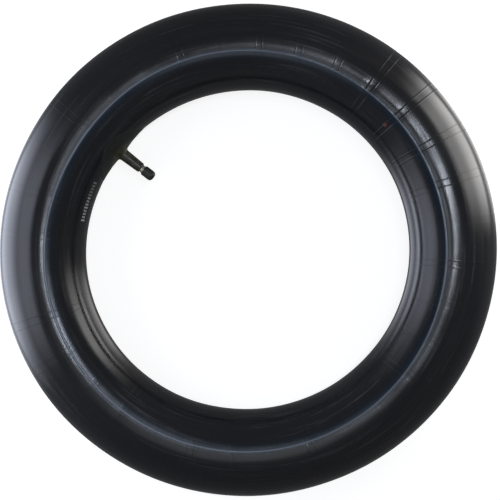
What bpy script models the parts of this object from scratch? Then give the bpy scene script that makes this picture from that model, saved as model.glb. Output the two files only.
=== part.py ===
"""A bicycle inner tube, 16 x 3.0 inch size, with a rubber-covered car-type valve.

The ring lies flat: its axis is +Z and its middle plane is z = 0. The valve stands on the inner
circumference at -X and points along +X, towards the ring's centre. Valve pieces are drawn upright
in a frame of their own (see VALVE_FRAME), where z is the height above the tube's rubber.
"""

import math

import bmesh
import bpy
from mathutils import Matrix

MM = 0.001

# Driving dimensions of the ring, in metres
HOLE_RADIUS = 145.0 * MM
SECTION_RADIUS = 39.25 * MM
RING_RADIUS = HOLE_RADIUS + SECTION_RADIUS
TUBE_WALL = 1.3 * MM
RING_SEGMENTS = 72
SECTION_SEGMENTS = 18  # not a multiple of four, so that a flat facet lies at the top and at the bottom

# Every length from here on is in mm. Heights are above the tube's rubber, in the valve's frame
GAP = 0.3  # between bonded pieces
PATCH_HALF_LENGTH = 30.0  # along the ring
PATCH_HALF_WIDTH = 27.0  # across it, before it is laid round the section
PATCH_THICKNESS = 0.6
PATCH_EDGE = 0.3
AIR_HOLE_RADIUS = 2.6  # through the tube and its patch

BOOT_BOTTOM = GAP + PATCH_THICKNESS + GAP
BOOT_TOP = 23.9
BOOT_HOLE_RADIUS = 1.8
FLANGE_RADIUS = 15.0
FLANGE_EDGE = 0.4
BOND = 0.15  # between the boot's rubber and the stem
FOOT_RADIUS = 4.6
FOOT_BOTTOM = 1.9
FOOT_TOP = 2.7
STEM_RADIUS = 3.0  # inside the rubber
STEM_NECK = 22.7  # where the stem widens for its outer thread
STEM_TOP = 35.0
SEAT_BOTTOM = 27.6  # the tapered seat for the core's gasket
SEAT_TOP = 29.3
BORE_RADIUS = 2.05  # round the core
AIR_RADIUS = 1.5  # below the core

# Outer thread, 32 turns to the inch, for the cap. Inner thread, 36 turns to the inch, for the core
CAP_PITCH = 25.4 / 32
CAP_THREAD_START = 24.6
CAP_THREAD_ROOT = 3.4
CAP_THREAD_CREST = 3.83
CORE_PITCH = 25.4 / 36
CORE_THREAD_START = 29.8
CORE_THREAD_ROOT = 2.74
CORE_THREAD_CREST = 2.42
THREAD_GAP = 0.15  # radial play of both threads
THREAD_SEGMENTS = 16
RUN_OUT = 0.4  # turns over which a ridge grows and fades

CAP_BOTTOM = 26.5
CAP_TOP = 37.8
CAP_RADIUS = 4.7
CAP_CHAMFER = 0.4
CAP_CEILING = 36.3
LINER_BOTTOM = STEM_TOP + 0.2
LINER_TOP = CAP_CEILING - GAP

# The core: the barrel holds a spring that lifts the pin's collar, and so shuts the cup
PLUG_TOP = 34.2
PLUG_SHOULDER = 33.2
PLUG_BOTTOM = 29.7
KEY_WIDTH = 1.7  # across the plug's two flats
PIN_RADIUS = 0.5
PIN_TOP = 34.6
COLLAR_BOTTOM = 26.4
COLLAR_RADIUS = 1.05
BARREL_TOP = 31.2
BARREL_BOTTOM = 19.5
BARREL_RADIUS = 1.75
CHAMBER_BOTTOM = 20.1
CHAMBER_TOP = 27.4
CHAMBER_RADIUS = 1.25
PIN_HOLE_RADIUS = 0.72
CUP_BOTTOM = 17.9
CUP_TOP = 19.0
CUP_FLOOR = 18.15
CUP_HOLE_RADIUS = 0.62
SPRING_TURNS = 6
SPRING_RADIUS = 0.93
WIRE_RADIUS = 0.14
PLAY = 0.1  # between the core's small pieces

# Columns are the valve frame's axes in the ring's frame: x along +Y, y along +Z, z along +X
VALVE_FRAME = Matrix.Translation((-HOLE_RADIUS, 0, 0)) @ Matrix(((0, 0, 1), (1, 0, 0), (0, 1, 0))).to_4x4()


def clear_scene():
    for found in list(bpy.data.objects):
        bpy.data.objects.remove(found, do_unlink=True)


def new_collection(name):
    made = bpy.data.collections.new(name)
    bpy.context.scene.collection.children.link(made)
    return made


def material(name, colour, roughness, metallic=0.0):
    made = bpy.data.materials.new(name)
    made.use_nodes = True
    shader = made.node_tree.nodes["Principled BSDF"]
    shader.inputs["Base Color"].default_value = (*colour, 1.0)
    shader.inputs["Roughness"].default_value = roughness
    shader.inputs["Metallic"].default_value = metallic
    return made


def move_to(obj, collection):
    for owner in list(obj.users_collection):
        owner.objects.unlink(obj)
    collection.objects.link(obj)
    return obj


def valve_piece(name, data, surface):
    """A new object in the valve's frame."""
    made = bpy.data.objects.new(name, data)
    PARTS.objects.link(made)
    made.parent = valve_axis
    data.materials.append(surface)
    return made


def cut(obj, cutter, name):
    """Takes the primitive `cutter`, which is placed in the valve's frame, out of obj."""
    move_to(cutter, HELPERS)
    cutter.name = name
    cutter.parent = valve_axis
    cutter.hide_render = True
    cutter.display_type = "WIRE"
    boolean = obj.modifiers.new("cut", "BOOLEAN")
    boolean.operation = "DIFFERENCE"
    boolean.object = cutter
    boolean.solver = "EXACT"


def shade(mesh):
    mesh.shade_smooth()
    mesh.set_sharp_from_angle(angle=math.radians(35))


def next_pairs(items, profile):
    """Neighbours along a profile, which closes on itself unless it begins and ends on the axis."""
    on_axis = profile[0][0] == 0
    return list(zip(items, items[1:] + ([] if on_axis else items[:1])))


def turned(name, profile, segments, surface):
    """A solid turned about the valve's axis. Its (radius, height) points run down the outer side."""
    wire = bpy.data.meshes.new(name)
    corners = [(radius * MM, 0.0, height * MM) for radius, height in profile]
    wire.from_pydata(corners, next_pairs(list(range(len(corners))), profile), [])
    made = valve_piece(name, wire, surface)
    screw = made.modifiers.new("turn", "SCREW")
    screw.axis = "Z"
    screw.steps = screw.render_steps = segments
    screw.use_merge_vertices = True
    screw.merge_threshold = 0.00001
    graph = bpy.context.evaluated_depsgraph_get()
    made.data = bpy.data.meshes.new_from_object(made.evaluated_get(graph))
    made.modifiers.clear()
    shade(made.data)
    return made


class Thread:
    """A right-hand helical ridge on a turned wall, from a start height and for a whole number of turns."""

    def __init__(self, root, crest, widths, pitch, start, turns, rising):
        self.root, self.crest = root, crest
        self.widths = widths  # at the root and at the crest
        self.pitch, self.start, self.turns = pitch, start, turns
        self.rising = rising  # whether the profile runs up this wall, as it does in a bore

    def section(self, turn):
        """The ridge's four (radius, height) corners, this many turns from its start."""
        grown = min(1, turn / RUN_OUT, (self.turns - turn) / RUN_OUT)
        crest = self.root + (self.crest - self.root) * grown
        middle = self.start + self.pitch * turn
        half_root, half_crest = (width / 2 for width in self.widths)
        corners = [(self.root, middle - half_root), (crest, middle - half_crest)]
        corners += [(crest, middle + half_crest), (self.root, middle + half_root)]
        return corners if self.rising else corners[::-1]


def column(profile, share):
    """The profile at this share of a full turn, in order: {(place, ridge, corner): (radius, height)}. The
    first column has one ridge more, because it holds both of a thread's ends."""
    stations = {}
    for place, item in enumerate(profile):
        if not isinstance(item, Thread):
            stations[place, None, 0] = item
            continue
        ridges = range(item.turns + (share == 0))
        for ridge in ridges if item.rising else reversed(ridges):
            for corner, point in enumerate(item.section(ridge + share)):
                stations[place, ridge, corner] = point
    return stations


def next_ridge(key):
    place, ridge, corner = key
    return key if ridge is None else (place, ridge + 1, corner)


def stretch(points, first, last):
    """The points of a closed column from one key to another."""
    keys = list(points)
    i, j = keys.index(first), keys.index(last)
    return [points[key] for key in (keys[i : j + 1] if i < j else keys[i:] + keys[: j + 1])]


def threaded(name, profile, segments, surface):
    """As turned(), for a profile with Thread items in it. The faces are made here because a ridge is one skin
    with its wall: across the seam, between the last column and the first, it meets the next ridge up."""
    bm = bmesh.new()
    columns = []
    for number in range(segments):
        share = number / segments
        x, y = math.cos(math.tau * share) * MM, math.sin(math.tau * share) * MM
        stations = column(profile, share)
        columns.append({key: bm.verts.new((r * x, r * y, h * MM)) for key, (r, h) in stations.items()})
    for near, far in zip(columns, columns[1:] + columns[:1]):
        at_seam = far is columns[0]
        pairs = [(key, next_ridge(key) if at_seam else key) for key in near]
        pairs = [pair for pair in pairs if pair[1] in far]
        for (near_first, far_first), (near_last, far_last) in next_pairs(pairs, profile):
            sides = stretch(near, near_first, near_last), stretch(far, far_first, far_last)
            short, long = sorted(sides, key=len)
            for one, other in zip(long, long[1:]):
                bm.faces.new((one, other, short[0]))
            bm.faces.new((long[-1], short[-1], short[0]))
    bmesh.ops.remove_doubles(bm, verts=bm.verts, dist=0.0000001)
    bmesh.ops.recalc_face_normals(bm, faces=bm.faces)
    mesh = bpy.data.meshes.new(name)
    bm.to_mesh(mesh)
    bm.free()
    shade(mesh)
    return valve_piece(name, mesh, surface)


def rubber_height(along, across):
    """How high the tube's rubber stands beside the valve, in metres. `along` follows the ring, where the
    rubber rises, and `across` follows the section, where it falls away."""
    reach = RING_RADIUS - math.sqrt(SECTION_RADIUS**2 - across**2)
    return HOLE_RADIUS - math.sqrt(reach**2 - along**2)


def make_tube():
    """The hollow ring. It rests on the flat facet that runs all round its lowest line."""
    bpy.ops.mesh.primitive_torus_add(
        major_segments=RING_SEGMENTS,
        minor_segments=SECTION_SEGMENTS,
        major_radius=RING_RADIUS,
        minor_radius=SECTION_RADIUS,
    )
    tube = move_to(bpy.context.object, PARTS)
    tube.name = tube.data.name = "tube_body"
    tube.data.materials.append(BUTYL)
    tube.data.shade_smooth()
    wall = tube.modifiers.new("wall", "SOLIDIFY")
    wall.thickness = TUBE_WALL
    wall.offset = -1
    bpy.ops.mesh.primitive_cylinder_add(vertices=12, radius=AIR_HOLE_RADIUS * MM, depth=8 * MM)
    cut(tube, bpy.context.object, "air_hole")


def make_patch():
    """An oval patch round the air hole, laid on the rubber and thin at its edge."""
    hole, rim = AIR_HOLE_RADIUS, PATCH_HALF_WIDTH
    rings = [hole, 8, 13, 17.5, 21, 24]  # closer where the section curves away
    upper = [(radius, PATCH_THICKNESS) for radius in rings] + [(rim, PATCH_EDGE)]
    under = [(radius, 0) for radius in [rim] + rings[::-1]]
    patch = turned("reinforcing_patch", upper + under, 28, BOOT_RUBBER)
    stretched = PATCH_HALF_LENGTH / PATCH_HALF_WIDTH - 1
    for vertex in patch.data.vertices:
        x, y, z = vertex.co
        outwards = (math.hypot(x, y) / MM - hole) / (rim - hole)
        x *= 1 + stretched * outwards  # the hole stays round
        vertex.co = (x, y, z + GAP * MM + rubber_height(x, y))


def make_boot():
    """The moulded rubber base and sleeve, with a pocket for the stem's foot. Its flange follows the tube."""
    outside = [(3.55, BOOT_TOP), (3.9, BOOT_TOP - 0.15), (4.4, 23.2), (4.62, 22.2), (4.85, 17), (5.2, 9)]
    outside += [(5.32, 4.6), (5.6, 3.4), (6.3, 2.6), (8.5, 2.05), (12, 1.8)]
    outside += [(FLANGE_RADIUS, BOOT_BOTTOM + FLANGE_EDGE), (FLANGE_RADIUS, BOOT_BOTTOM)]
    under = [(radius, BOOT_BOTTOM) for radius in (12, 9, 5.5, BOOT_HOLE_RADIUS)]
    low, high, wide = FOOT_BOTTOM - BOND, FOOT_TOP + BOND, FOOT_RADIUS + BOND
    bore = STEM_RADIUS + BOND
    pocket = [(BOOT_HOLE_RADIUS, low), (wide, low), (wide, high), (bore, high), (bore, STEM_NECK - 0.2)]
    pocket += [(CAP_THREAD_ROOT + BOND, STEM_NECK)]
    boot = turned("valve_boot", outside + under + pocket, 24, BOOT_RUBBER)
    stiff, soft = 5.5, 10.5  # inside the first radius only the underside follows the tube
    for vertex in boot.data.vertices:
        x, y, z = vertex.co
        share = min(1, max(0, (math.hypot(x, y) / MM - stiff) / (soft - stiff)))
        if z / MM < BOOT_BOTTOM + PLAY:
            share = 1
        vertex.co.z = z + share * rubber_height(x, y)


def make_stem():
    """The plated brass stem: a foot, bonding grooves, the cap's thread, and the core's thread and seat."""
    outside = [(2.95, STEM_TOP), (3.15, STEM_TOP), (CAP_THREAD_ROOT, STEM_TOP - 0.3)]
    outside += [Thread(CAP_THREAD_ROOT, CAP_THREAD_CREST, (0.6, 0.2), CAP_PITCH, CAP_THREAD_START, 12, False)]
    outside += [(CAP_THREAD_ROOT, STEM_NECK + 0.3), (STEM_RADIUS, STEM_NECK)]
    groove = STEM_RADIUS - 0.2
    for low in (15.0, 9.0):
        high = low + 1
        outside += [(STEM_RADIUS, high + 0.2), (groove, high), (groove, low), (STEM_RADIUS, low - 0.2)]
    outside += [(STEM_RADIUS, FOOT_TOP), (FOOT_RADIUS, FOOT_TOP), (FOOT_RADIUS, FOOT_BOTTOM)]
    bore = [(AIR_RADIUS, FOOT_BOTTOM), (AIR_RADIUS, 14.6), (BORE_RADIUS, 15.2), (BORE_RADIUS, SEAT_BOTTOM)]
    bore += [(CORE_THREAD_ROOT, SEAT_TOP)]
    bore += [Thread(CORE_THREAD_ROOT, CORE_THREAD_CREST, (0.5, 0.16), CORE_PITCH, CORE_THREAD_START, 6, True)]
    bore += [(CORE_THREAD_ROOT, STEM_TOP - 0.2)]
    threaded("valve_stem", outside + bore, THREAD_SEGMENTS, NICKEL)


def make_plug():
    """The core's threaded top. A key turns it by the two flats, and it holds the barrel by its head."""
    root = CORE_THREAD_CREST - THREAD_GAP
    crest = CORE_THREAD_ROOT - THREAD_GAP
    tang, pin_hole, swivel, lip = 2.0, 0.95, 1.65, 1.3
    outside = [(pin_hole, PLUG_TOP), (tang, PLUG_TOP), (tang, PLUG_SHOULDER), (root, PLUG_SHOULDER)]
    in_groove = CORE_THREAD_START + CORE_PITCH / 2
    outside += [Thread(root, crest, (0.34, 0.12), CORE_PITCH, in_groove, 4, False), (root, PLUG_BOTTOM)]
    cavity = [(lip, PLUG_BOTTOM), (lip, PLUG_BOTTOM + 0.4), (swivel, PLUG_BOTTOM + 0.4)]
    cavity += [(swivel, BARREL_TOP + 0.4), (pin_hole, BARREL_TOP + 0.4)]
    plug = threaded("core_plug", outside + cavity, THREAD_SEGMENTS, BRASS)
    bpy.ops.mesh.primitive_cube_add(size=1)
    cutter = bpy.context.object
    wide, above = 6, 0.05
    height = PLUG_TOP - PLUG_SHOULDER
    cutter.data.transform(Matrix.Diagonal((wide * MM, wide * MM, height * MM, 1)))
    beside = (KEY_WIDTH + wide) / 2
    cutter.data.transform(Matrix.Translation((0, beside * MM, (PLUG_TOP - height / 2 + above) * MM)))
    mirror = cutter.modifiers.new("other_flat", "MIRROR")
    mirror.use_axis = (False, True, False)
    mirror.merge_threshold = 0.00001
    cut(plug, cutter, "key_flats")


def make_barrel():
    """The core's lower tube, with a head in the plug's swivel and a groove for the gasket."""
    head, neck, groove = 1.45, 1.05, 1.3
    outside = [(head, BARREL_TOP), (head, 30.4), (neck, 30.4), (neck, 29.4), (BARREL_RADIUS, 29.4)]
    outside += [(BARREL_RADIUS, 29.0), (groove, 29.0), (groove, 27.8), (BARREL_RADIUS, 27.6)]
    outside += [(BARREL_RADIUS, BARREL_BOTTOM)]
    bore = [(PIN_HOLE_RADIUS, BARREL_BOTTOM), (PIN_HOLE_RADIUS, CHAMBER_BOTTOM)]
    bore += [(CHAMBER_RADIUS, CHAMBER_BOTTOM), (CHAMBER_RADIUS, CHAMBER_TOP)]
    bore += [(PIN_HOLE_RADIUS, CHAMBER_TOP), (PIN_HOLE_RADIUS, BARREL_TOP)]
    turned("core_barrel", outside + bore, 14, BRASS)


def make_gasket():
    """The conical ring between the barrel's groove and the stem's tapered seat."""
    inner, low, high = 1.42, 27.95, 28.88
    turned("barrel_gasket", [(inner, high), (2.42, high), (2.08, low), (inner, low)], 16, GASKET)


def make_pin():
    """The pin, with a button on top, a collar for the spring and a riveted lower end."""
    button_radius, button_bottom = 0.75, PIN_TOP - 0.4
    rivet_radius, rivet_top, rivet_bottom = 0.8, CUP_BOTTOM - 0.15, 17.3
    collar_top = COLLAR_BOTTOM + 0.6
    side = [(button_radius, PIN_TOP), (button_radius, button_bottom), (PIN_RADIUS, button_bottom)]
    side += [(PIN_RADIUS, collar_top), (COLLAR_RADIUS, collar_top)]
    side += [(COLLAR_RADIUS, COLLAR_BOTTOM), (PIN_RADIUS, COLLAR_BOTTOM)]
    side += [(PIN_RADIUS, rivet_top), (rivet_radius, rivet_top), (rivet_radius, rivet_bottom)]
    turned("core_pin", [(0, PIN_TOP), *side, (0, rivet_bottom)], 12, BRASS)


def make_cup():
    """The cup at the pin's lower end."""
    outer, inner = 1.65, 1.45
    side = [(inner, CUP_TOP), (outer, CUP_TOP), (outer, CUP_BOTTOM)]
    floor = [(CUP_HOLE_RADIUS, CUP_BOTTOM), (CUP_HOLE_RADIUS, CUP_FLOOR), (inner, CUP_FLOOR)]
    turned("pin_cup", side + floor, 14, BRASS)


def washer(name, inner, outer, low, high, surface):
    turned(name, [(inner, high), (outer, high), (outer, low), (inner, low)], 16, surface)


def make_spring():
    """A coil from the chamber's floor up to the pin's collar, as a wire along a helix."""
    points_per_turn = 10
    count = SPRING_TURNS * points_per_turn + 1
    bottom = CHAMBER_BOTTOM + WIRE_RADIUS + PLAY
    top = COLLAR_BOTTOM - WIRE_RADIUS - PLAY
    curve = bpy.data.curves.new("core_spring", "CURVE")
    curve.dimensions = "3D"
    curve.bevel_depth = WIRE_RADIUS * MM
    curve.bevel_resolution = 1
    curve.use_fill_caps = True
    wire = curve.splines.new("POLY")
    wire.points.add(count - 1)
    for place, point in enumerate(wire.points):
        angle = math.tau * place / points_per_turn
        height = bottom + (top - bottom) * place / (count - 1)
        spot = (SPRING_RADIUS * math.cos(angle), SPRING_RADIUS * math.sin(angle), height)
        point.co = (*(length * MM for length in spot), 1)
    valve_piece("core_spring", curve, STEEL)


def make_cap():
    """The dust cap, with a rounded end and a thread that runs in the stem's groove."""
    bore = CAP_THREAD_CREST + THREAD_GAP
    crest = CAP_THREAD_ROOT + THREAD_GAP
    outside = [(0, CAP_TOP), (2.4, CAP_TOP), (3.5, 37.55), (4.25, 36.95), (4.6, 36.1), (CAP_RADIUS, 35)]
    outside += [(CAP_RADIUS, CAP_BOTTOM + CAP_CHAMFER), (CAP_RADIUS - 0.3, CAP_BOTTOM), (bore, CAP_BOTTOM)]
    in_groove = CAP_THREAD_START + CAP_PITCH * 3.5
    inside = [Thread(bore, crest, (0.54, 0.16), CAP_PITCH, in_groove, 5, True)]
    inside += [(bore, CAP_CEILING), (0, CAP_CEILING)]
    threaded("valve_cap", outside + inside, THREAD_SEGMENTS, CAP_PLASTIC)


clear_scene()
PARTS = new_collection("inner_tube")
HELPERS = new_collection("cutters")
BUTYL = material("butyl_rubber", (0.016, 0.017, 0.020), 0.42)
BOOT_RUBBER = material("valve_rubber", (0.020, 0.021, 0.019), 0.55)
SEAL_RUBBER = material("seal_rubber", (0.012, 0.012, 0.012), 0.7)
NICKEL = material("plated_brass", (0.62, 0.60, 0.50), 0.3, 1.0)
BRASS = material("brass", (0.68, 0.50, 0.22), 0.32, 1.0)
STEEL = material("spring_steel", (0.55, 0.55, 0.56), 0.3, 1.0)
GASKET = material("gasket", (0.35, 0.03, 0.02), 0.5)
CAP_PLASTIC = material("cap_plastic", (0.018, 0.018, 0.018), 0.45)

valve_axis = bpy.data.objects.new("valve_axis", None)
PARTS.objects.link(valve_axis)
valve_axis.matrix_world = VALVE_FRAME

make_tube()
make_patch()
make_boot()
make_stem()
make_plug()
make_barrel()
make_gasket()
make_pin()
make_cup()
washer("pin_seal", CUP_HOLE_RADIUS, 1.35, CUP_FLOOR + PLAY, BARREL_BOTTOM - PLAY, SEAL_RUBBER)
make_spring()
washer("cap_liner", 1.2, 3.75, LINER_BOTTOM, LINER_TOP, SEAL_RUBBER)
make_cap()
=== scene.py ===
"""The looks of the inner tube: fine rubber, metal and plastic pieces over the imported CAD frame.

Each CAD node has one finer piece here, and the print and the dot are pieces of ink on the rubber. Lengths
are metres unless a comment says millimetres. Ring angles are about +Z from +X. Section angles are from the
outward direction up towards +Z. The valve stands on the inner side of the ring at ring angle pi and points
along +X. Heights along the valve are millimetres from the ring's inner side.
"""

import math

import bmesh
import bpy
import numpy as np
from mathutils import Matrix, Vector


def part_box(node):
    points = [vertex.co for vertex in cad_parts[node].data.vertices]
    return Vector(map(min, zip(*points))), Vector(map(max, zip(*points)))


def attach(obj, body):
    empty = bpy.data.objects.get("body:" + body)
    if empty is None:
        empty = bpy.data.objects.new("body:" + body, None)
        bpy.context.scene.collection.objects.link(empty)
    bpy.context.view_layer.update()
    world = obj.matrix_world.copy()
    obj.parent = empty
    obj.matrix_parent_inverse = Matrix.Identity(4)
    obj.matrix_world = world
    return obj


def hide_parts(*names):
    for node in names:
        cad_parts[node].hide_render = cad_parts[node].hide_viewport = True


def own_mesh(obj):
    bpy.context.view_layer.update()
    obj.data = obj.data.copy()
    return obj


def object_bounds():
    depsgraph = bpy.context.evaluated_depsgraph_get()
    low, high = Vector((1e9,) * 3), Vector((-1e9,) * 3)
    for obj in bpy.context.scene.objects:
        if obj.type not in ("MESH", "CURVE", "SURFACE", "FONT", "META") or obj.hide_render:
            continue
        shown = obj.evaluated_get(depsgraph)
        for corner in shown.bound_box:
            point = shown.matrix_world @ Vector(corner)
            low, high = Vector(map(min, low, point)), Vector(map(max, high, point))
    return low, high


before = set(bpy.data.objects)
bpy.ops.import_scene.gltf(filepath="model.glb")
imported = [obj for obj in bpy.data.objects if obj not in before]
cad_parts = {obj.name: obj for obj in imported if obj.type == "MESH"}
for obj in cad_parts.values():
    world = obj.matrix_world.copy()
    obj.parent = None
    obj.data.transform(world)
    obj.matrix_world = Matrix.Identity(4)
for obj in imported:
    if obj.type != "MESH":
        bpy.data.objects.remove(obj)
cad_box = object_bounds()

MM = 0.001
FACET = math.radians(10)  # half of one facet of the CAD section, whose top facet is flat
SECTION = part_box("tube_body")[1].z / math.cos(FACET)  # radius of the round section
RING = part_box("tube_body")[1].x - SECTION  # radius of the ring's centre line
HOLE = RING - SECTION  # radius of the ring's inner side
WALL = 1.3 * MM
OVAL = 1.4 * MM  # a loose tube is never quite round: how far its radius swings about its mean
LONG_WAY = math.radians(56)  # the ring angle of its longer axis

# Moulded lines on the tube
CREST_ANGLE = math.radians(99.2)  # a rib along the ring on each side, a little inside the highest line
CREST_HALF_WIDTH = 0.55 * MM
CREST_HEIGHT = 0.24 * MM
CREST_PAINTED_HIGHLIGHT = 0.72  # how pale the painted highlight along the crest rib is, on average round the ring
CREST_HIGHLIGHT_SWING = 0.28  # how far the painted highlight's paleness swings round the ring
CREST_HIGHLIGHT_WEAKEST = math.radians(60)  # the ring angle where the painted highlight is weakest
HOLLOW_DEPTH = 0.05 * MM  # of a shallow groove on each side of the crest rib
PARTING_HEIGHT = 0.22 * MM  # the mould's parting line round the outer side
PARTING_HALF_WIDTH = 0.012  # as a section angle, in radians
PAIRS = 32  # pairs of thin ribs across the section, one of them at the valve
PERIOD = math.tau / PAIRS  # the ring angle from one pair to the next
PAIR_HALF_SPACING = math.radians(0.93)
RIB_HALF_WIDTH = math.radians(0.15)
RIB_HEIGHT = 0.13 * MM
SPLICE = 7.4  # where the rubber is spliced, counted in pairs: the pairs near it stand out most
WAVE_HEIGHT = 0.4 * MM
VALVE_HOLE = 2.6 * MM  # radius of the hole in the tube under the valve
SKIN_VALUES = ("crest", "beside", "rib")  # what the skin's mesh tells its material


# ------------------------------------------------------------------------------------ mesh helpers


def smooth(value):
    """The value held between 0 and 1, easing in and out."""
    value = np.clip(value, 0, 1)
    return value * value * (3 - 2 * value)


def bump(distance, half_width):
    """1 at distance 0, falling smoothly to 0 at the half width."""
    return smooth(1 - np.abs(distance) / half_width)


def wrapped(angle):
    """The angle between -pi and pi."""
    return (np.asarray(angle) + math.pi) % math.tau - math.pi


def piece(name, points, faces, surface, body="tube", stands_for=None):
    """A new smooth-shaded mesh object that rides on a body."""
    mesh = bpy.data.meshes.new(name)
    mesh.from_pydata([tuple(point) for point in points], [], faces)
    mesh.materials.append(surface)
    made = bpy.data.objects.new(name, mesh)
    bpy.context.scene.collection.objects.link(made)
    clean(mesh)
    mesh.shade_smooth()
    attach(made, body)
    if stands_for:
        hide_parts(stands_for)
    return made


def clean(mesh):
    """Merges the points that meet on an axis and turns every face outwards."""
    bm = bmesh.new()
    bm.from_mesh(mesh)
    bmesh.ops.remove_doubles(bm, verts=bm.verts, dist=0.0005 * MM)
    bmesh.ops.recalc_face_normals(bm, faces=bm.faces)
    bm.to_mesh(mesh)
    bm.free()


def grid_faces(rows, columns, rows_close, columns_close):
    """The quads of a grid of points, numbered row by row."""
    faces = []
    for row in range(rows if rows_close else rows - 1):
        for column in range(columns if columns_close else columns - 1):
            right, above = (column + 1) % columns, (row + 1) % rows
            corners = (row, column), (row, right), (above, right), (above, column)
            faces.append(tuple(r * columns + c for r, c in corners))
    return faces


def rounded(profile, radius):
    """The (radius, height) profile with its corners cut to short curves of about this radius."""
    steps = 4
    points = []
    count = len(profile)
    for place, corner in enumerate(profile):
        corner = np.array(corner, float)
        if corner[0] == 0:  # on the axis
            points.append(tuple(corner))
            continue
        arms = [np.array(profile[(place + way) % count], float) - corner for way in (-1, 1)]
        lengths = [np.linalg.norm(arm) for arm in arms]
        cut = min(radius, *(length * 0.45 for length in lengths))  # two curves never meet on a short side
        first, last = (corner + arm / length * cut for arm, length in zip(arms, lengths))
        for step in range(steps + 1):
            share = step / steps
            curve = (1 - share) ** 2 * first + 2 * share * (1 - share) * corner + share**2 * last
            points.append(tuple(curve))
    return points


class Thread:
    """A right-hand ridge on a turned wall. All lengths are in mm."""

    samples = 12  # rings of points to each pitch

    def __init__(self, root, crest, widths, pitch, start, low, high):
        self.root, self.crest = root, crest
        self.half_root, self.half_crest = widths[0] / 2, widths[1] / 2
        self.pitch, self.start = pitch, start
        self.low, self.high = low, high  # the ridge fades out at these heights

    def on_wall(self, radius):
        return np.abs(radius - self.root) < 1e-6

    def refined(self, profile):
        """The profile with rings of points where its wall carries the ridge."""
        found = []
        for here, there in zip(profile, profile[1:] + profile[:1]):
            found.append(here)
            reaches = min(here[1], there[1]) <= self.low and max(here[1], there[1]) >= self.high
            if reaches and self.on_wall(here[0]) and self.on_wall(there[0]):
                count = round((self.high - self.low) / self.pitch * self.samples)
                heights = np.linspace(self.low, self.high, count)
                found += [(self.root, h) for h in (heights if there[1] > here[1] else heights[::-1])]
        return found

    def lift(self, radius, height, angle):
        """How far the wall moves towards the crest at these points."""
        turn = (height - self.start) / self.pitch - angle / math.tau
        distance = np.abs(turn - np.round(turn)) * self.pitch
        ridge = smooth((self.half_root - distance) / (self.half_root - self.half_crest))
        fade = smooth((height - self.low) / self.pitch) * smooth((self.high - height) / self.pitch)
        return np.where(self.on_wall(radius), (self.crest - self.root) * ridge * fade, 0)


def rubber_height(along, across):
    """How far the tube's surface stands over its height at the valve's axis, for places along the ring and
    across it. All are in mm."""
    reach = RING / MM - np.sqrt(np.maximum((SECTION / MM) ** 2 - across**2, 0))
    return HOLE / MM - np.sqrt(reach**2 - along**2)


def lathe(profile, segments, threads=(), shape=None):
    """Points and faces of a turned piece on the valve's axis, from a closed (radius, height) profile in mm.
    `shape` may move the points: it takes and returns arrays of radius, height and angle."""
    for thread in threads:
        profile = thread.refined(profile)
    angle, place = np.meshgrid(np.arange(segments) / segments * math.tau, range(len(profile)))
    table = np.array(profile, float)
    radius, height = table[place, 0], table[place, 1]
    lifts = sum((thread.lift(radius, height, angle) for thread in threads), np.zeros_like(radius))
    radius = radius + lifts
    if shape:
        radius, height, angle = shape(radius, height, angle)
    points = np.stack([height * MM - HOLE, radius * np.cos(angle) * MM, radius * np.sin(angle) * MM], -1)
    on_axis = profile[0][0] == 0
    return points.reshape(-1, 3), grid_faces(len(profile), segments, not on_axis, True)


def turned(name, profile, surface, slot, stands_for, body="tube", bevel=0.12, segments=72, **more):
    """A turned piece with small round edges."""
    points, faces = lathe(rounded(profile, bevel), segments, **more)
    made = piece(name, points, faces, surface, body, stands_for)
    weigh = made.modifiers.new("weigh", "WEIGHTED_NORMAL")
    weigh.keep_sharp = True
    return made


# --------------------------------------------------------------------------------------- materials


def node(tree, kind, inputs=None, **settings):
    """A new shader node. An input may be a value or another node's output."""
    made = tree.nodes.new("ShaderNode" + kind)
    for key, value in settings.items():
        setattr(made, key, value)
    for key, value in (inputs or {}).items():
        if isinstance(value, bpy.types.NodeSocket):
            tree.links.new(value, made.inputs[key])
        else:
            made.inputs[key].default_value = value
    return made


def maths(tree, operation, first, second=0.0, third=0.0):
    return node(tree, "Math", {0: first, 1: second, 2: third}, operation=operation).outputs[0]


def product(tree, first, second):
    return maths(tree, "MULTIPLY", first, second)


def total(tree, first, *others):
    """The sum of several values."""
    for other in others:
        first = maths(tree, "ADD", first, other)
    return first


def hypotenuse(tree, first, second):
    return maths(tree, "SQRT", total(tree, product(tree, first, first), product(tree, second, second)))


def mixed(tree, share, first, second):
    """A colour between two others. The node's colour sockets share their names, so they go by number."""
    made = node(tree, "Mix", data_type="RGBA")
    for key, value in ((0, share), (6, first), (7, second)):
        if isinstance(value, bpy.types.NodeSocket):
            tree.links.new(value, made.inputs[key])
        else:
            made.inputs[key].default_value = value if key == 0 else (*value, 1)
    return made.outputs[2]


def ramp(tree, value, low, high, to_low=0.0, to_high=1.0):
    """A smooth step from one result to another as the value goes from low to high."""
    inputs = {"Value": value, "From Min": low, "From Max": high, "To Min": to_low, "To Max": to_high}
    return node(tree, "MapRange", inputs, interpolation_type="SMOOTHSTEP").outputs[0]


def noise(tree, vector, scale, detail=4.0, roughness=0.5, w=None):
    """Noise in three dimensions, or in four where `w` is given."""
    inputs = {"Vector": vector, "Scale": scale, "Detail": detail, "Roughness": roughness}
    if w is None:
        return node(tree, "TexNoise", inputs).outputs[0]
    return node(tree, "TexNoise", {**inputs, "W": w}, noise_dimensions="4D").outputs[0]


def new_material(name):
    made = bpy.data.materials.new(name)
    made.use_nodes = True
    return made, made.node_tree, made.node_tree.nodes["Principled BSDF"]


def bumped(tree, shader, height, distance, strength=1.0):
    made = node(tree, "Bump", {"Height": height, "Distance": distance, "Strength": strength})
    tree.links.new(made.outputs[0], shader.inputs["Normal"])


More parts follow.
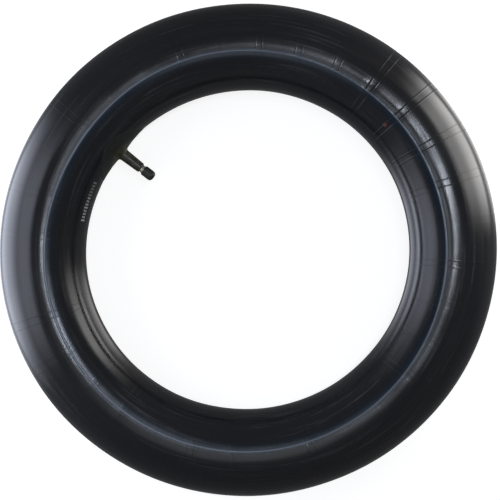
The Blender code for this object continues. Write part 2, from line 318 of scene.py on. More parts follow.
def connect(tree, shader, **inputs):
    """Sets the shader's inputs, each to a value or to another node's output."""
    for key, value in inputs.items():
        key = key.replace("_", " ")
        if isinstance(value, bpy.types.NodeSocket):
            tree.links.new(value, shader.inputs[key])
        else:
            shader.inputs[key].default_value = value


def ring_streaks(tree, place):
    """A function that makes noise stretched along the ring, with no seam either way."""
    x, y, z = node(tree, "SeparateXYZ", {"Vector": place}).outputs
    reach = hypotenuse(tree, x, y)
    outward = maths(tree, "SUBTRACT", reach, RING)
    radius = hypotenuse(tree, outward, z)
    round_ring = [maths(tree, "DIVIDE", part, reach) for part in (x, y)]
    round_section = [maths(tree, "DIVIDE", part, radius) for part in (outward, z)]

    def streaks(along, across, detail):
        first, second = (product(tree, part, along) for part in round_ring)
        third, fourth = (product(tree, part, across) for part in round_section)
        vector = node(tree, "CombineXYZ", {"X": first, "Y": second, "Z": third}).outputs[0]
        return noise(tree, vector, 1.0, detail, 0.6, fourth)

    return streaks


def tube_material():
    """Butyl rubber: near black with a blue tint, streaked along the ring, with traces of talc. The mesh says
    where the crest line, the darker stretch beside it and the cross ribs are. The crest line is a painted
    highlight, and the cross ribs are painted darker as painted shade."""
    made, tree, shader = new_material("butyl_rubber_fine")
    place = node(tree, "TexCoord").outputs["Object"]
    streaks = ring_streaks(tree, place)
    broad, medium, fine = streaks(1.3, 3.5, 3.0), streaks(2.2, 13.0, 4.0), streaks(5.0, 42.0, 3.0)
    cloud = noise(tree, place, 14.0, 5.0, 0.62)
    grain = noise(tree, place, 1400.0, 3.0, 0.6)
    speck = noise(tree, place, 420.0, 2.0, 0.5)
    attributes = [node(tree, "Attribute", attribute_name=name) for name in SKIN_VALUES]
    crest, beside, rib = (attribute.outputs["Fac"] for attribute in attributes)

    blue_black, grey_black = (0.0085, 0.0095, 0.0125), (0.0145, 0.0145, 0.0160)
    cool_black = (0.0095, 0.0115, 0.0155)
    base = mixed(tree, ramp(tree, broad, 0.36, 0.66), blue_black, grey_black)
    base = mixed(tree, ramp(tree, cloud, 0.48, 0.72, 0.0, 0.55), base, cool_black)
    talc = product(tree, ramp(tree, medium, 0.52, 0.72), ramp(tree, cloud, 0.40, 0.65, 0.25, 1.0))
    talc = product(tree, talc, ramp(tree, fine, 0.38, 0.62, 0.35, 1.0))
    talc_colour, speck_colour = (0.105, 0.107, 0.112), (0.09, 0.09, 0.09)
    base = mixed(tree, product(tree, talc, 0.34), base, talc_colour)
    base = mixed(tree, ramp(tree, speck, 0.70, 0.78, 0.0, 0.20), base, speck_colour)
    deep_blue, painted_highlight_blue, rib_shade_black = (0.005, 0.013, 0.025), (0.23, 0.27, 0.33), (0.006, 0.006, 0.007)
    base = mixed(tree, product(tree, beside, 0.85), base, deep_blue)
    # painted highlight: the crest line is painted pale blue, for the light that the crest rib catches
    base = mixed(tree, crest, base, painted_highlight_blue)
    # painted shade: the cross ribs are painted darker, for the dark lines that their flanks show against the
    # highlights
    base = mixed(tree, product(tree, rib, 0.7), base, rib_shade_black)

    rough = total(tree, ramp(tree, medium, 0.35, 0.70, 0.17, 0.24), product(tree, talc, 0.16),
                  ramp(tree, cloud, 0.35, 0.70, -0.03, 0.05), product(tree, rib, 0.30))
    shine = maths(tree, "MULTIPLY_ADD", rib, -0.30, 0.5)
    connect(tree, shader, Base_Color=base, Roughness=rough, Specular_IOR_Level=shine)
    height = total(tree, product(tree, fine, 0.5), product(tree, grain, 0.22), product(tree, medium, 0.9))
    bumped(tree, shader, height, 0.16 * MM, 0.15)
    return made


def rubber_material(name, dark, light, roughness, grain_size=0.9 * MM, dusty=0.25):
    """Moulded rubber with a fine grain and a little dust."""
    made, tree, shader = new_material(name)
    place = node(tree, "TexCoord").outputs["Object"]
    stretched = node(tree, "Mapping", {"Vector": place, "Scale": (0.25, 1.0, 1.0)}).outputs[0]
    cloud = noise(tree, place, 160.0, 5.0, 0.6)
    lines = noise(tree, stretched, 900.0, 3.0, 0.6)
    grain = noise(tree, place, 1 / grain_size, 3.0, 0.65)
    base = mixed(tree, ramp(tree, cloud, 0.35, 0.68), dark, light)
    dust = product(tree, ramp(tree, lines, 0.52, 0.75), ramp(tree, cloud, 0.4, 0.7, 0.2, 1.0))
    dust_colour = (0.15, 0.15, 0.14)
    base = mixed(tree, product(tree, dust, dusty), base, dust_colour)
    rough = ramp(tree, cloud, 0.3, 0.7, roughness - 0.06, roughness + 0.07)
    connect(tree, shader, Base_Color=base, Roughness=rough)
    bumped(tree, shader, total(tree, grain, product(tree, lines, 0.6)), 0.06 * MM, 0.7)
    return made


def metal_material(name, bright, dull, roughness):
    """Turned metal with fine tool rings, tarnish and small scratches."""
    made, tree, shader = new_material(name)
    place = node(tree, "TexCoord").outputs["Object"]
    rings = node(tree, "Mapping", {"Vector": place, "Scale": (1.0, 0.06, 0.06)}).outputs[0]
    slant = {"Vector": place, "Rotation": (0.4, 0.7, 0.2), "Scale": (0.1, 1, 1)}
    slanted = node(tree, "Mapping", slant).outputs[0]
    tool = noise(tree, rings, 9000.0, 2.0, 0.5)
    cloud = noise(tree, place, 380.0, 4.0, 0.6)
    scratch = noise(tree, slanted, 3000.0)
    base = mixed(tree, ramp(tree, cloud, 0.38, 0.68), bright, dull)
    rough = total(tree, ramp(tree, cloud, 0.3, 0.7, roughness - 0.05, roughness + 0.12),
                  ramp(tree, tool, 0.35, 0.7, -0.03, 0.05))
    connect(tree, shader, Base_Color=base, Roughness=rough, Metallic=1.0)
    height = total(tree, tool, product(tree, ramp(tree, scratch, 0.62, 0.68), 0.5))
    bumped(tree, shader, height, 0.02 * MM, 0.5)
    return made


def plastic_material(name, dark, light, roughness):
    """Black moulded plastic with a spark-eroded grain, scuffed a little where it is handled."""
    made, tree, shader = new_material(name)
    place = node(tree, "TexCoord").outputs["Object"]
    cloud = noise(tree, place, 300.0, 4.0, 0.6)
    grain = noise(tree, place, 4200.0, 2.0, 0.7)
    edge = node(tree, "NewGeometry").outputs["Pointiness"]
    worn = product(tree, ramp(tree, edge, 0.53, 0.60), ramp(tree, cloud, 0.42, 0.62))
    base = mixed(tree, ramp(tree, cloud, 0.35, 0.7), dark, light)
    worn_colour = (0.10, 0.10, 0.098)
    base = mixed(tree, product(tree, worn, 0.5), base, worn_colour)
    rough = ramp(tree, cloud, 0.3, 0.7, roughness - 0.05, roughness + 0.08)
    connect(tree, shader, Base_Color=base, Roughness=rough)
    bumped(tree, shader, grain, 0.03 * MM, 0.6)
    return made


def ink_material(name, colour, cover):
    """Thin ink that has worn off in places, down to the rubber."""
    made, tree, shader = new_material(name)
    place = node(tree, "TexCoord").outputs["Object"]
    wear = noise(tree, place, 1100.0, 4.0, 0.7)
    soft = noise(tree, place, 300.0, 2.0, 0.5)
    left = product(tree, ramp(tree, wear, 0.30, 0.45, 0.7, 1.0), ramp(tree, soft, 0.3, 0.6, 0.8, 1.0))
    rubber_colour = (0.02, 0.021, 0.024)
    base = mixed(tree, product(tree, left, cover), rubber_colour, colour)
    connect(tree, shader, Base_Color=base, Roughness=0.62)
    bumped(tree, shader, wear, 0.03 * MM, 0.5)
    return made


# --------------------------------------------------------------------------------- the tube's skin


def spaced(fine, coarse_step):
    """Sorted angles round a full turn: the fine ones, with others between them at about the coarse step."""
    fine = sorted(wrapped(angle) for angle in fine)
    found = []
    for here, there in zip(fine, fine[1:] + [fine[0] + math.tau]):
        count = max(1, math.ceil((there - here) / coarse_step))
        found += [here + (there - here) * i / count for i in range(count)]
    return np.array(found)


def crest_distance(section):
    """How far a section angle is from the nearer crest rib, in metres along the skin, positive inwards."""
    return (np.abs(wrapped(section)) - CREST_ANGLE) * SECTION


def pair_strength(number):
    """How much a pair of cross ribs stands out: unevenly, and most of all beside the splice."""
    uneven = 0.22 + 0.14 * np.sin(2.4 * number + 1.1)
    return uneven + 0.95 * np.exp(-(((number - SPLICE) / 1.5) ** 2))


def waviness(ring, section):
    """The rubber's slight unevenness, between about -0.8 and 0.8."""
    wave = 0.35 * np.sin(3 * ring + 0.7) * np.cos(section - 0.4)
    wave = wave + 0.22 * np.sin(7 * ring + 2 * section + 1.9)
    return wave + 0.12 * np.sin(13 * ring - 3 * section) + 0.10 * np.sin(5 * section + 2 * ring)


def skin_relief(ring, section):
    """The skin's height over its round section at a place, and how much of a cross rib is there. The cross
    ribs fade out on the ring's inner side."""
    inward = crest_distance(section)
    crest = bump(inward, CREST_HALF_WIDTH) * CREST_HEIGHT
    hollow = bump(np.abs(inward) - 2.2 * CREST_HALF_WIDTH, 2.0 * CREST_HALF_WIDTH) * HOLLOW_DEPTH
    from_pair = wrapped((ring + PERIOD / 2) % PERIOD - PERIOD / 2)
    strength = pair_strength(np.round((ring - from_pair) / PERIOD) % PAIRS)
    strength = strength * smooth((math.pi - np.abs(wrapped(section))) / math.radians(40) - 0.4)
    rib = bump(np.abs(from_pair) - PAIR_HALF_SPACING, RIB_HALF_WIDTH) * strength
    depth = (0.06 + 0.17 * bump(inward, 20 * MM)) * MM  # the skin sinks round a pair, most at the crest
    sunk = bump(from_pair, 2.7 * PAIR_HALF_SPACING) * depth * strength
    parting = bump(section, PARTING_HALF_WIDTH) * PARTING_HEIGHT
    height = crest - hollow + rib * RIB_HEIGHT - sunk + parting
    return height + waviness(ring, section) * WAVE_HEIGHT, rib


def near_valve(ring, width):
    """1 at the valve's ring angle, falling away to nothing on both sides within about two widths."""
    return np.exp(-((wrapped(ring - math.pi) / width) ** 2))


def ring_radius(ring):
    """The ring's slightly oval radius, which is exact where the valve's patch holds the tube."""
    swing = np.cos(2 * (ring - LONG_WAY)) - math.cos(2 * (math.pi - LONG_WAY))
    return RING + OVAL * swing * (1 - near_valve(ring, 0.4))


def inward_drift(ring):
    """How far the moulded lines drift towards the ring's hole, as a section angle. They wander a little,
    and near the valve the patch holds the rubber back."""
    degrees = 1.8 * np.cos(ring - math.radians(95)) + 1.5 * np.cos(2 * (ring - math.radians(60)))
    degrees = degrees + 4.3 * near_valve(ring, 0.5)
    return np.radians(degrees)


def on_skin(ring, section, height=0.0):
    """The place on the tube's skin at these angles, raised by this height."""
    section = section + inward_drift(ring) * np.sin(section)
    radius = SECTION + height
    reach = ring_radius(ring) + radius * np.cos(section)
    return np.stack([reach * np.cos(ring), reach * np.sin(ring), radius * np.sin(section)], -1)


def skin_angles():
    """The ring and section angles of the skin's grid, close together at the moulded lines."""
    near = np.array([-2.2, -1.1, -0.55, 0, 0.55, 1.1, 2.2]) * RIB_HALF_WIDTH
    ribs = [number * PERIOD + side * PAIR_HALF_SPACING for number in range(PAIRS) for side in (-1, 1)]
    rings = spaced([rib + offset for rib in ribs for offset in near], math.radians(1.0))
    near = np.array([-2.6, -1.3, -0.65, 0, 0.65, 1.3, 2.6]) * CREST_HALF_WIDTH / SECTION
    fine = [side * CREST_ANGLE + offset for side in (-1, 1) for offset in near]
    fine += [share * PARTING_HALF_WIDTH for share in (-2, -1, -0.5, 0, 0.5, 1, 2)]
    return rings, spaced(fine, math.radians(3.2))


def skin_colours(ring, section):
    """How strong the painted highlight along the crest rib is at a place, and how strong the darker stretch
    beside it.
    """
    inward = crest_distance(section)
    highlight_paint = CREST_PAINTED_HIGHLIGHT - CREST_HIGHLIGHT_SWING * np.cos(ring - CREST_HIGHLIGHT_WEAKEST)
    inner_stretch = bump(np.maximum(inward - 3.5 * MM, 0), 5.0 * MM)
    outer_stretch = 0.7 * bump(inward, 4.5 * MM)
    return bump(inward, 1.2 * MM) * highlight_paint, np.where(inward > 0, inner_stretch, outer_stretch)


def make_tube():
    """The skin with its moulded lines, open under the valve, thickened inwards to the wall."""
    rings, sections = skin_angles()
    ring, section = np.meshgrid(rings, sections, indexing="ij")
    relief, rib = skin_relief(ring, section)
    points = on_skin(ring, section, relief)
    in_hole = np.hypot(points[..., 1], points[..., 2]) < VALVE_HOLE
    in_hole = (in_hole & (points[..., 0] < 0) & (points[..., 0] > -RING)).reshape(-1)
    faces = grid_faces(len(rings), len(sections), True, True)
    faces = [face for face in faces if not any(in_hole[corner] for corner in face)]
    mesh = bpy.data.meshes.new("tube_rubber")
    mesh.from_pydata([tuple(point) for point in points.reshape(-1, 3)], [], faces)
    for name, values in zip(SKIN_VALUES, (*skin_colours(ring, section), rib)):
        attribute = mesh.attributes.new(name, "FLOAT", "POINT")
        attribute.data.foreach_set("value", values.reshape(-1).astype(np.float32))
    bm = bmesh.new()
    bm.from_mesh(mesh)
    bmesh.ops.delete(bm, geom=[vert for vert in bm.verts if not vert.link_faces], context="VERTS")
    bmesh.ops.recalc_face_normals(bm, faces=bm.faces)
    bm.to_mesh(mesh)
    bm.free()
    mesh.materials.append(tube_material())
    mesh.shade_smooth()
    made = bpy.data.objects.new("tube_rubber", mesh)
    bpy.context.scene.collection.objects.link(made)
    wall = made.modifiers.new("wall", "SOLIDIFY")
    wall.thickness = WALL
    wall.offset = -1
    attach(made, "tube")
    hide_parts("tube_body")


def ink_sheet(name, ring, section, thickness, ink):
    """A thin closed piece on the skin, from grids of ring and section angles. Its underside is sunk into
    the rubber, so that no gap shows."""
    sunk = 0.15 * MM
    relief, _ = skin_relief(ring, section)
    top = on_skin(ring, section, relief + thickness)
    under = on_skin(ring, section, relief - sunk)
    rows, columns = ring.shape
    count = rows * columns
    quads = grid_faces(rows, columns, False, False)
    faces = quads + [tuple(corner + count for corner in face[::-1]) for face in quads]
    corners = np.arange(count).reshape(rows, columns)
    sides = corners[0, :-1], corners[:-1, -1], corners[-1, :0:-1], corners[:0:-1, 0]
    border = np.concatenate(sides).tolist()
    for here, there in zip(border, border[1:] + border[:1]):
        faces.append((here, here + count, there + count, there))
    points = np.concatenate([top.reshape(-1, 3), under.reshape(-1, 3)])
    piece(name, points, faces, ink, "tube")


def make_bars():
    """A row of plain bars of worn white ink beside the valve, the first of them nearly worn off."""
    white = ink_material("white_ink", (0.42, 0.42, 0.41), 0.95)
    faint = ink_material("faint_ink", (0.20, 0.20, 0.195), 0.95)
    count, faint_count = 13, 5
    start, step = math.radians(193.9), math.radians(1.13)
    half_width, half_height = math.radians(0.33), 2.9 * MM / SECTION
    middle = math.radians(154)
    for number in range(count):
        height = 1.0 if number % 4 == 0 else 0.8  # every fourth bar is longer
        around = start + step * number + np.linspace(-half_width, half_width, 5)
        up = middle + np.linspace(-half_height, half_height, 9) * height
        ring, section = np.meshgrid(around, up, indexing="ij")
        ink = faint if number < faint_count else white
        ink_sheet(f"print_bar_{number + 1}", ring, section, 0.05 * MM, ink)


def make_dot():
    """A faded red inspection dot, on the hole's side of the crest rib."""
    red = ink_material("red_ink", (0.17, 0.032, 0.022), 0.8)
    middle_ring, middle_section = math.radians(79.5), math.radians(117.5)
    radii, turns = np.linspace(0.02, 1.8, 6) * MM, np.linspace(0, math.tau, 24)
    radius, turn = np.meshgrid(radii, turns, indexing="ij")
    section = middle_section + radius * np.sin(turn) / SECTION
    ring = middle_ring + radius * np.cos(turn) / (RING + SECTION * math.cos(middle_section))
    ink_sheet("inspection_dot", ring, section, 0.04 * MM, red)


# --------------------------------------------------------------------------------------- the valve


def make_patch(surface):
    """The oval patch round the valve, feathered into the rubber, with a thin lip at its edge."""
    half_length, half_width, segments = 30.0, 27.0, 120  # lengths in mm
    crown, lip, edge, rim, under = 0.85, 0.30, 0.18, -0.30, -0.35  # heights over the tube's rubber, in mm
    # Where the rings of points stand, from the middle of the patch to its edge
    share = np.array([0.09, 0.2, 0.32, 0.45, 0.58, 0.70, 0.80, 0.88, 0.93, 0.965, 0.985, 0.995, 1.0])
    height = crown * (1 - smooth((share - 0.5) / 0.47)) + np.where(share < 0.99, lip, edge)
    height[-1] = rim
    share = np.append(share, share[::-1])
    height = np.append(height, np.full(len(height), under))
    angle, place = np.meshgrid(np.arange(segments) / segments * math.tau, range(len(share)))
    along = share[place] * half_length * np.cos(angle)
    across = share[place] * half_width * np.sin(angle)
    lift = rubber_height(along, across) + height[place]
    points = np.stack([lift * MM - HOLE, along * MM, across * MM], -1).reshape(-1, 3)
    faces = grid_faces(len(share), segments, True, True)
    piece("valve_patch", points, faces, surface, "tube", "reinforcing_patch")


def make_sleeve(surface):
    """The moulded base and sleeve. Its flange follows the tube and runs out thin. Profiles are radius and
    height in mm, here and in the pieces below."""
    outside = [(3.45, 23.9), (3.9, 23.82), (4.35, 23.35), (4.58, 22.5), (4.66, 21.6), (4.85, 17.0)]
    outside += [(5.05, 12.0), (5.22, 8.0), (5.3, 5.4), (5.38, 4.4), (5.6, 3.5), (6.1, 2.8), (7.2, 2.3)]
    outside += [(9.0, 1.95), (12.0, 1.6), (14.2, 1.32), (14.9, 1.15), (15.0, 0.7)]
    under = [(15.0, 0.3), (9.0, 0.3), (1.8, 0.3)]
    pocket = [(1.8, 1.75), (4.75, 1.75), (4.75, 2.85), (3.15, 2.85), (3.15, 22.5), (3.45, 22.7)]

    def drape(radius, height, angle):
        """Bends the underside and the flange to the tube, and leaves the upright sleeve as it is."""
        share = np.where(height < 0.65, 1.0, smooth((radius - 5.0) / 6.0))
        along, across = radius * np.cos(angle), radius * np.sin(angle)
        return radius, height + share * rubber_height(along, across), angle

    turned("valve_sleeve", outside + under + pocket, surface, "valve_rubber", "valve_boot", bevel=0.25,
           segments=96, shape=drape)


# Threads in mm: radii at root and crest, widths at root and crest, pitch, start, and heights of both ends.
# The stem's outer thread has 32 turns to the inch and the core's has 36.
CAP_PITCH, CORE_PITCH = 25.4 / 32, 25.4 / 36
STEM_THREAD = Thread(3.4, 3.83, (0.62, 0.16), CAP_PITCH, 24.6, 24.5, 34.2)
CAP_THREAD = Thread(3.98, 3.55, (0.54, 0.16), CAP_PITCH, 24.6 + CAP_PITCH / 2, 27.3, 31.4)
BORE_THREAD = Thread(2.74, 2.42, (0.5, 0.14), CORE_PITCH, 29.8, 29.7, 34.1)
PLUG_THREAD = Thread(2.27, 2.59, (0.34, 0.10), CORE_PITCH, 29.8 + CORE_PITCH / 2, 30.1, 33.0)


def make_stem(surface):
    """The metal stem: threads outside and inside its end, and two grooves that hold the rubber."""
    outside = [(2.9, 35.0), (3.2, 35.0), (3.4, 34.75), (3.4, 23.0), (3.0, 22.7)]
    for low in (15.0, 9.0):
        outside += [(3.0, low + 1.2), (2.8, low + 1.0), (2.8, low), (3.0, low - 0.2)]
    outside += [(3.0, 2.7), (4.6, 2.7), (4.6, 1.9)]
    bore = [(1.5, 1.9), (1.5, 14.6), (2.05, 15.2), (2.05, 27.6), (2.74, 29.3), (2.74, 34.8)]
    turned("stem_metal", outside + bore, surface, "plated_brass", "valve_stem", bevel=0.08, segments=96,
           threads=(STEM_THREAD, BORE_THREAD))


def cut_key_flats(plug):
    """Cuts the two flats for a key into the top of the core's plug."""
    low, high = 33.22, 34.5
    from_axis, reach, width = 0.85, 3.0, 6.0  # the cutting boxes start at the flats and reach past the plug
    bm = bmesh.new()
    for side in (-1, 1):
        centre = Vector(((low + high) / 2 - HOLE / MM, 0, side * (from_axis + reach) / 2)) * MM
        size = Vector((high - low, width, reach - from_axis)) * MM
        place = Matrix.Translation(centre) @ Matrix.Diagonal(size).to_4x4()
        bmesh.ops.create_cube(bm, size=1, matrix=place)
    mesh = bpy.data.meshes.new("key_flats")
    bm.to_mesh(mesh)
    bm.free()
    cutter = bpy.data.objects.new("key_flats", mesh)
    bpy.context.scene.collection.objects.link(cutter)
    cut = plug.modifiers.new("key_flats", "BOOLEAN")
    cut.object = cutter
    cut.operation = "DIFFERENCE"
    plug.modifiers.move(1, 0)  # before the weighting of its normals
    graph = bpy.context.evaluated_depsgraph_get()
    plug.data = bpy.data.meshes.new_from_object(plug.evaluated_get(graph))
    plug.modifiers.clear()
    bpy.data.objects.remove(cutter)


def make_core(brass, red_rubber):
    """The fixed part of the valve core: its plug, the barrel that hangs on it and the barrel's gasket."""
    plug = [(0.95, 34.2), (2.0, 34.2), (2.0, 33.2), (2.27, 33.15), (2.27, 29.7)]
    plug += [(1.3, 29.7), (1.3, 30.1), (1.65, 30.1), (1.65, 31.6), (0.95, 31.6)]
    made = turned("plug_metal", plug, brass, "brass", "core_plug", bevel=0.07, threads=(PLUG_THREAD,))
    cut_key_flats(made)
    barrel = [(1.45, 31.2), (1.45, 30.4), (1.05, 30.4), (1.05, 29.4), (1.75, 29.4), (1.75, 29.0)]
    barrel += [(1.3, 29.0), (1.3, 27.8), (1.75, 27.6), (1.75, 19.5), (0.72, 19.5), (0.72, 20.1)]
    barrel += [(1.25, 20.1), (1.25, 27.4), (0.72, 27.4), (0.72, 31.2)]
    turned("barrel_metal", barrel, brass, "brass", "core_barrel", bevel=0.06)
    gasket = [(1.36, 28.92), (2.1, 28.95), (2.42, 28.8), (2.1, 27.95), (1.9, 27.85), (1.36, 27.9)]
    turned("gasket_rubber", gasket, red_rubber, "gasket", "barrel_gasket", bevel=0.12)


def make_pin(brass, black_rubber):
    """The pin through the core, with its cup and its seal."""
    pin = [(0, 34.6), (0.6, 34.6), (0.75, 34.45), (0.75, 34.2), (0.5, 34.15), (0.5, 27.0), (1.05, 27.0)]
    pin += [(1.05, 26.4), (0.5, 26.4), (0.5, 17.75), (0.8, 17.7), (0.65, 17.3), (0, 17.25)]
    turned("pin_metal", pin, brass, "brass", "core_pin", body="pin", bevel=0.05)
    cup = [(1.45, 19.0), (1.65, 19.0), (1.65, 17.9), (0.52, 17.9), (0.52, 18.15), (1.45, 18.15)]
    turned("cup_metal", cup, brass, "brass", "pin_cup", body="pin", bevel=0.06)
    seal = [(0.55, 19.4), (1.35, 19.4), (1.38, 18.17), (0.55, 18.17)]
    turned("seal_rubber_fine", seal, black_rubber, "seal_rubber", "pin_seal", body="pin", bevel=0.1)


def make_spring(steel):
    """The coil between the chamber's floor and the pin's collar, with closed end turns."""
    low, high = 20.27, 26.2  # the two ends of the wire's centre line
    wire, mean = 0.15, 0.93  # radii of the wire and of the coil
    turns, steps, sides = 7.0, 36, 10
    turn = np.linspace(0, turns, int(turns * steps) + 1)
    from_end = np.minimum(turn[1:], turns - turn[1:])
    rise = np.cumsum(np.append(0, 0.15 + smooth(from_end - 0.4)))  # the turns lie close at both ends
    height = low + (high - low) * rise / rise[-1]
    angle = turn * math.tau
    centre = np.stack([height, mean * np.cos(angle), mean * np.sin(angle)], -1)
    outward = np.stack([np.zeros_like(angle), np.cos(angle), np.sin(angle)], -1)
    forward = np.gradient(centre, axis=0)
    forward /= np.linalg.norm(forward, axis=1)[:, None]
    third = np.cross(forward, outward)
    around = (np.arange(sides) / sides * math.tau)[:, None]
    offset = outward[:, None] * np.cos(around) + third[:, None] * np.sin(around)
    points = (centre[:, None] + wire * offset) * MM
    points[..., 0] -= HOLE
    faces = grid_faces(len(turn), sides, False, True)
    last = (len(turn) - 1) * sides
    faces += [tuple(range(sides))[::-1], tuple(range(last, last + sides))]
    made = piece("spring_wire", points.reshape(-1, 3), faces, steel, "tube", "core_spring")
    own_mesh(made)


def make_cap(plastic, black_rubber):
    """The dust cap, with fine grip ribs between a plain skirt and a domed end, and the liner in it."""
    outside = [(0, 37.8), (1.5, 37.78), (2.5, 37.58), (3.3, 37.18), (3.95, 36.6), (4.36, 35.9)]
    outside += [(4.58, 35.2), (4.66, 34.6)] + [(4.68, height) for height in np.linspace(34.2, 28.6, 15)]
    outside += [(4.68, 28.2), (4.64, 27.8), (4.66, 27.4), (4.68, 26.9), (4.45, 26.5)]
    inside = [(3.98, 26.5), (3.98, 36.3), (0, 36.3)]
    ribs, depth, side = 24, 0.20, 4.5  # grooves of this depth on what is wider than `side`, in mm

    def grip(radius, height, angle):
        """Sinks the grooves between the ribs, from the skirt up to the domed end."""
        zone = smooth((height - 28.0) / 0.7) * smooth((35.2 - height) / 0.9)
        groove = 0.5 - 0.5 * np.cos(angle * ribs)
        return radius - np.where(radius > side, depth * zone * groove**2, 0), height, angle

    turned("cap_plastic_fine", outside + inside, plastic, "cap_plastic", "valve_cap", body="cap",
           bevel=0.12, segments=ribs * 10, threads=(CAP_THREAD,), shape=grip)
    liner = [(1.2, 36.2), (3.75, 36.2), (3.75, 35.2), (1.2, 35.2)]
    turned("liner_rubber", liner, black_rubber, "seal_rubber", "cap_liner", body="cap_liner", bevel=0.12)


# ------------------------------------------------------------------------- floor, light and camera


def make_floor():
    """A pale floor, nearly white from the camera. The glossy rubber reflects the room and not the floor."""
    size, gap = 40.0, 0.6 * MM  # the rubber's waves and moulded lines reach into the gap
    bpy.ops.mesh.primitive_plane_add(size=size, location=(0, 0, -SECTION - gap))
    floor = bpy.context.object
    floor.name = "floor"
    made, tree, shader = new_material("pale_floor")
    cloud = noise(tree, node(tree, "TexCoord").outputs["Object"], 1.2, 2.0, 0.5)
    seen_grey = mixed(tree, ramp(tree, cloud, 0.3, 0.7), (0.42, 0.42, 0.42), (0.46, 0.46, 0.46))
    lit_grey = (0.5, 0.5, 0.5)
    seen = node(tree, "LightPath").outputs["Is Camera Ray"]
    base = mixed(tree, seen, lit_grey, seen_grey)
    glow = product(tree, seen, 0.84)
    connect(tree, shader, Base_Color=base, Roughness=0.9, Specular_IOR_Level=0.1)
    connect(tree, shader, Emission_Color=(1, 1, 1, 1), Emission_Strength=glow)
    floor.data.materials.append(made)
    floor.visible_glossy = False
    floor.visible_shadow = False  # the panels' lower parts shine through it


def image_direction(right, up, towards_camera):
    """A direction in the ring's frame from one in the main view, where the valve points down and right."""
    roll = math.radians(37.7)  # from the ring's X axis to the picture's right
    across = Vector((math.cos(roll), math.sin(roll), 0))
    upward = Vector((-math.sin(roll), math.cos(roll), 0))
    return across * right + upward * up + Vector((0, 0, towards_camera))


def area_light(name, place, turned_to, size, radiance, colour, tall=None, faded=0.0):
    """A soft light at a place, facing along a direction and not seen by the camera: a disc of this size, or
    a panel that is `size` wide and `tall` high. `faded` is the share of them that grows dark at each edge."""
    light = bpy.data.lights.new(name, "AREA")
    light.shape = "RECTANGLE" if tall else "DISK"
    light.size = size
    area = math.pi * size**2 / 4
    if tall:
        area = size * tall
        light.size_y = tall
    light.energy = radiance * math.pi * area  # the watts that give this radiance
    light.color = colour
    if faded:
        light.use_nodes = True
        tree = light.node_tree
        spot = node(tree, "NewGeometry").outputs["Parametric"]
        across, up, _ = node(tree, "SeparateXYZ", {"Vector": spot}).outputs
        shares = []
        for along in (across, up):
            from_edge = maths(tree, "MINIMUM", along, maths(tree, "SUBTRACT", 1.0, along))
            shares.append(ramp(tree, from_edge, 0.0, faded))
        tree.links.new(product(tree, *shares), tree.nodes["Emission"].inputs["Strength"])
    made = bpy.data.objects.new(name, light)
    made.location = place
    made.rotation_euler = Vector(turned_to).to_track_quat("-Z", "Y").to_euler()
    made.visible_camera = False
    bpy.context.scene.collection.objects.link(made)
    return made


def turned_so(toward, upward):
    """The rotation of a light that shines from this direction and has its height along `upward`."""
    across = upward.cross(toward).normalized()
    return Matrix((across, toward.cross(across), toward)).transposed().to_euler()


def standing_panel(name, angle, distance, width, low, high, radiance, colour):
    """An upright panel beside the ring at this angle of the main view, between two heights over the ring's
    underside."""
    angle = math.radians(angle)
    outward = image_direction(math.cos(angle), math.sin(angle), 0)
    place = outward * distance + Vector((0, 0, cad_box[0].z + (low + high) / 2))
    area_light(name, place, -outward, width, radiance, colour, high - low, 0.35)


def make_side_panels():
    """The low panels light the outer slope and the high ones the inner slope. The foot panels, below the
    floor, keep the outline from ending in a dark rim."""
    cool, warm = (0.80, 0.85, 1.0), (1.0, 0.98, 0.96)
    left, right = 179, 27  # angles in the main view
    # name, angle, distance from the axis, width, lower and upper edge, radiance, colour
    panels = (
        ("left_low", left, 0.55, 0.80, -0.35, 0.26, 4.6, cool),
        ("left_foot", left, 0.55, 0.80, -1.50, -0.10, 1.5, cool),
        ("left_high", left, 0.56, 0.80, 0.05, 0.95, 2.4, cool),
        ("right_low", right, 0.55, 0.50, -0.22, 0.18, 6.2, warm),
        ("right_foot", right, 0.55, 0.50, -1.40, -0.08, 1.5, warm),
        ("right_high", right, 0.56, 0.50, 0.05, 0.46, 3.6, warm),
    )
    for panel in panels:
        standing_panel(*panel)


def make_lights():
    """A long key strip far above, a small disc over the ring for the soft line along its highest part, a
    weak fill and panels at its sides."""
    key_side = image_direction(0.155, 0.086, 1).normalized()
    key = area_light("key", key_side * 6, -key_side, 0.26, 37, (0.82, 0.88, 1.0), tall=1.7)
    key.rotation_euler = turned_so(key_side, image_direction(0.874, 0.485, 0))
    area_light("overhead", (0, 0, 0.87), (0, 0, -1), 0.09, 3.4, (0.76, 0.87, 1.0))
    fill_side = image_direction(-0.05, -0.23, 1).normalized()
    area_light("fill", fill_side * 3, -fill_side, 1.3, 0.90, (0.90, 0.95, 1.0), tall=1.3, faded=0.3)
    make_side_panels()


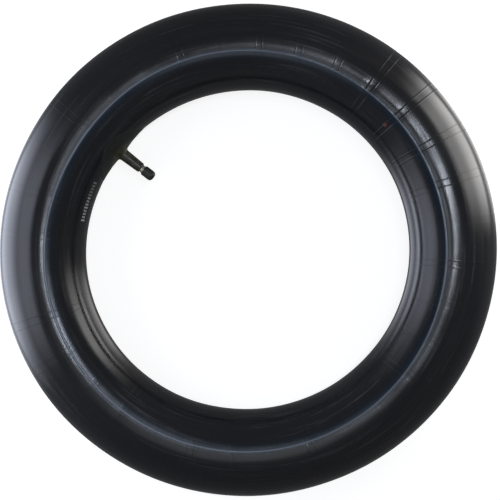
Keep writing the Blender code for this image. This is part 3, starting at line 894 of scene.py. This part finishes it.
def make_world():
    """A dim room, which the camera sees as a pale backdrop."""
    room, added_when_seen = 0.15, 0.78
    world = bpy.data.worlds.new("studio")
    bpy.context.scene.world = world
    world.use_nodes = True
    tree = world.node_tree
    background = tree.nodes["Background"]
    background.inputs["Color"].default_value = (0.98, 0.99, 1.0, 1)
    seen = node(tree, "LightPath").outputs["Is Camera Ray"]
    strength = maths(tree, "MULTIPLY_ADD", seen, added_when_seen, room)
    tree.links.new(strength, background.inputs["Strength"])
    bpy.context.scene.view_settings.view_transform = "Standard"


def make_camera():
    """Looks down on the ring from a little to the right of its axis."""
    distance, view_width, aside = 1.8, 0.4530, 0.08
    aim = image_direction(0.0028, -0.0001, 0)  # the ring lies a little left of the picture's middle
    back = image_direction(aside, 0, distance)
    upward = image_direction(0, 1, 0)
    camera = bpy.data.cameras.new("camera")
    camera.sensor_width = 36  # millimetres, as the lens is
    camera.lens = camera.sensor_width * back.length / view_width
    made = bpy.data.objects.new("camera", camera)
    bpy.context.scene.collection.objects.link(made)
    axes = Matrix((upward.cross(back).normalized(), upward, back.normalized())).transposed()
    made.matrix_world = Matrix.Translation(aim + back) @ axes.to_4x4()
    bpy.context.scene.camera = made


olive_rubber = rubber_material("sleeve_rubber_fine", (0.031, 0.032, 0.019), (0.060, 0.060, 0.036), 0.30)
patch_rubber = rubber_material(
    "patch_rubber_fine", (0.011, 0.0125, 0.0115), (0.019, 0.0205, 0.018), 0.44, grain_size=1.4 * MM)
black_rubber = rubber_material(
    "black_rubber_fine", (0.010, 0.010, 0.010), (0.018, 0.018, 0.018), 0.7, grain_size=0.4 * MM)
red_rubber = rubber_material(
    "red_rubber_fine", (0.28, 0.022, 0.016), (0.38, 0.040, 0.025), 0.5, grain_size=0.4 * MM, dusty=0.1)
nickel = metal_material("nickel_fine", (0.70, 0.67, 0.55), (0.50, 0.46, 0.33), 0.28)
brass = metal_material("brass_fine", (0.72, 0.53, 0.24), (0.52, 0.36, 0.15), 0.30)
steel = metal_material("steel_fine", (0.60, 0.60, 0.61), (0.42, 0.42, 0.43), 0.28)
cap_plastic = plastic_material("cap_plastic_grain", (0.014, 0.014, 0.012), (0.030, 0.028, 0.022), 0.38)

make_tube()
make_bars()
make_dot()
make_patch(patch_rubber)
make_sleeve(olive_rubber)
make_stem(nickel)
make_core(brass, red_rubber)
make_pin(brass, black_rubber)
make_spring(steel)
make_cap(cap_plastic, black_rubber)
make_floor()
make_lights()
make_world()
make_camera()
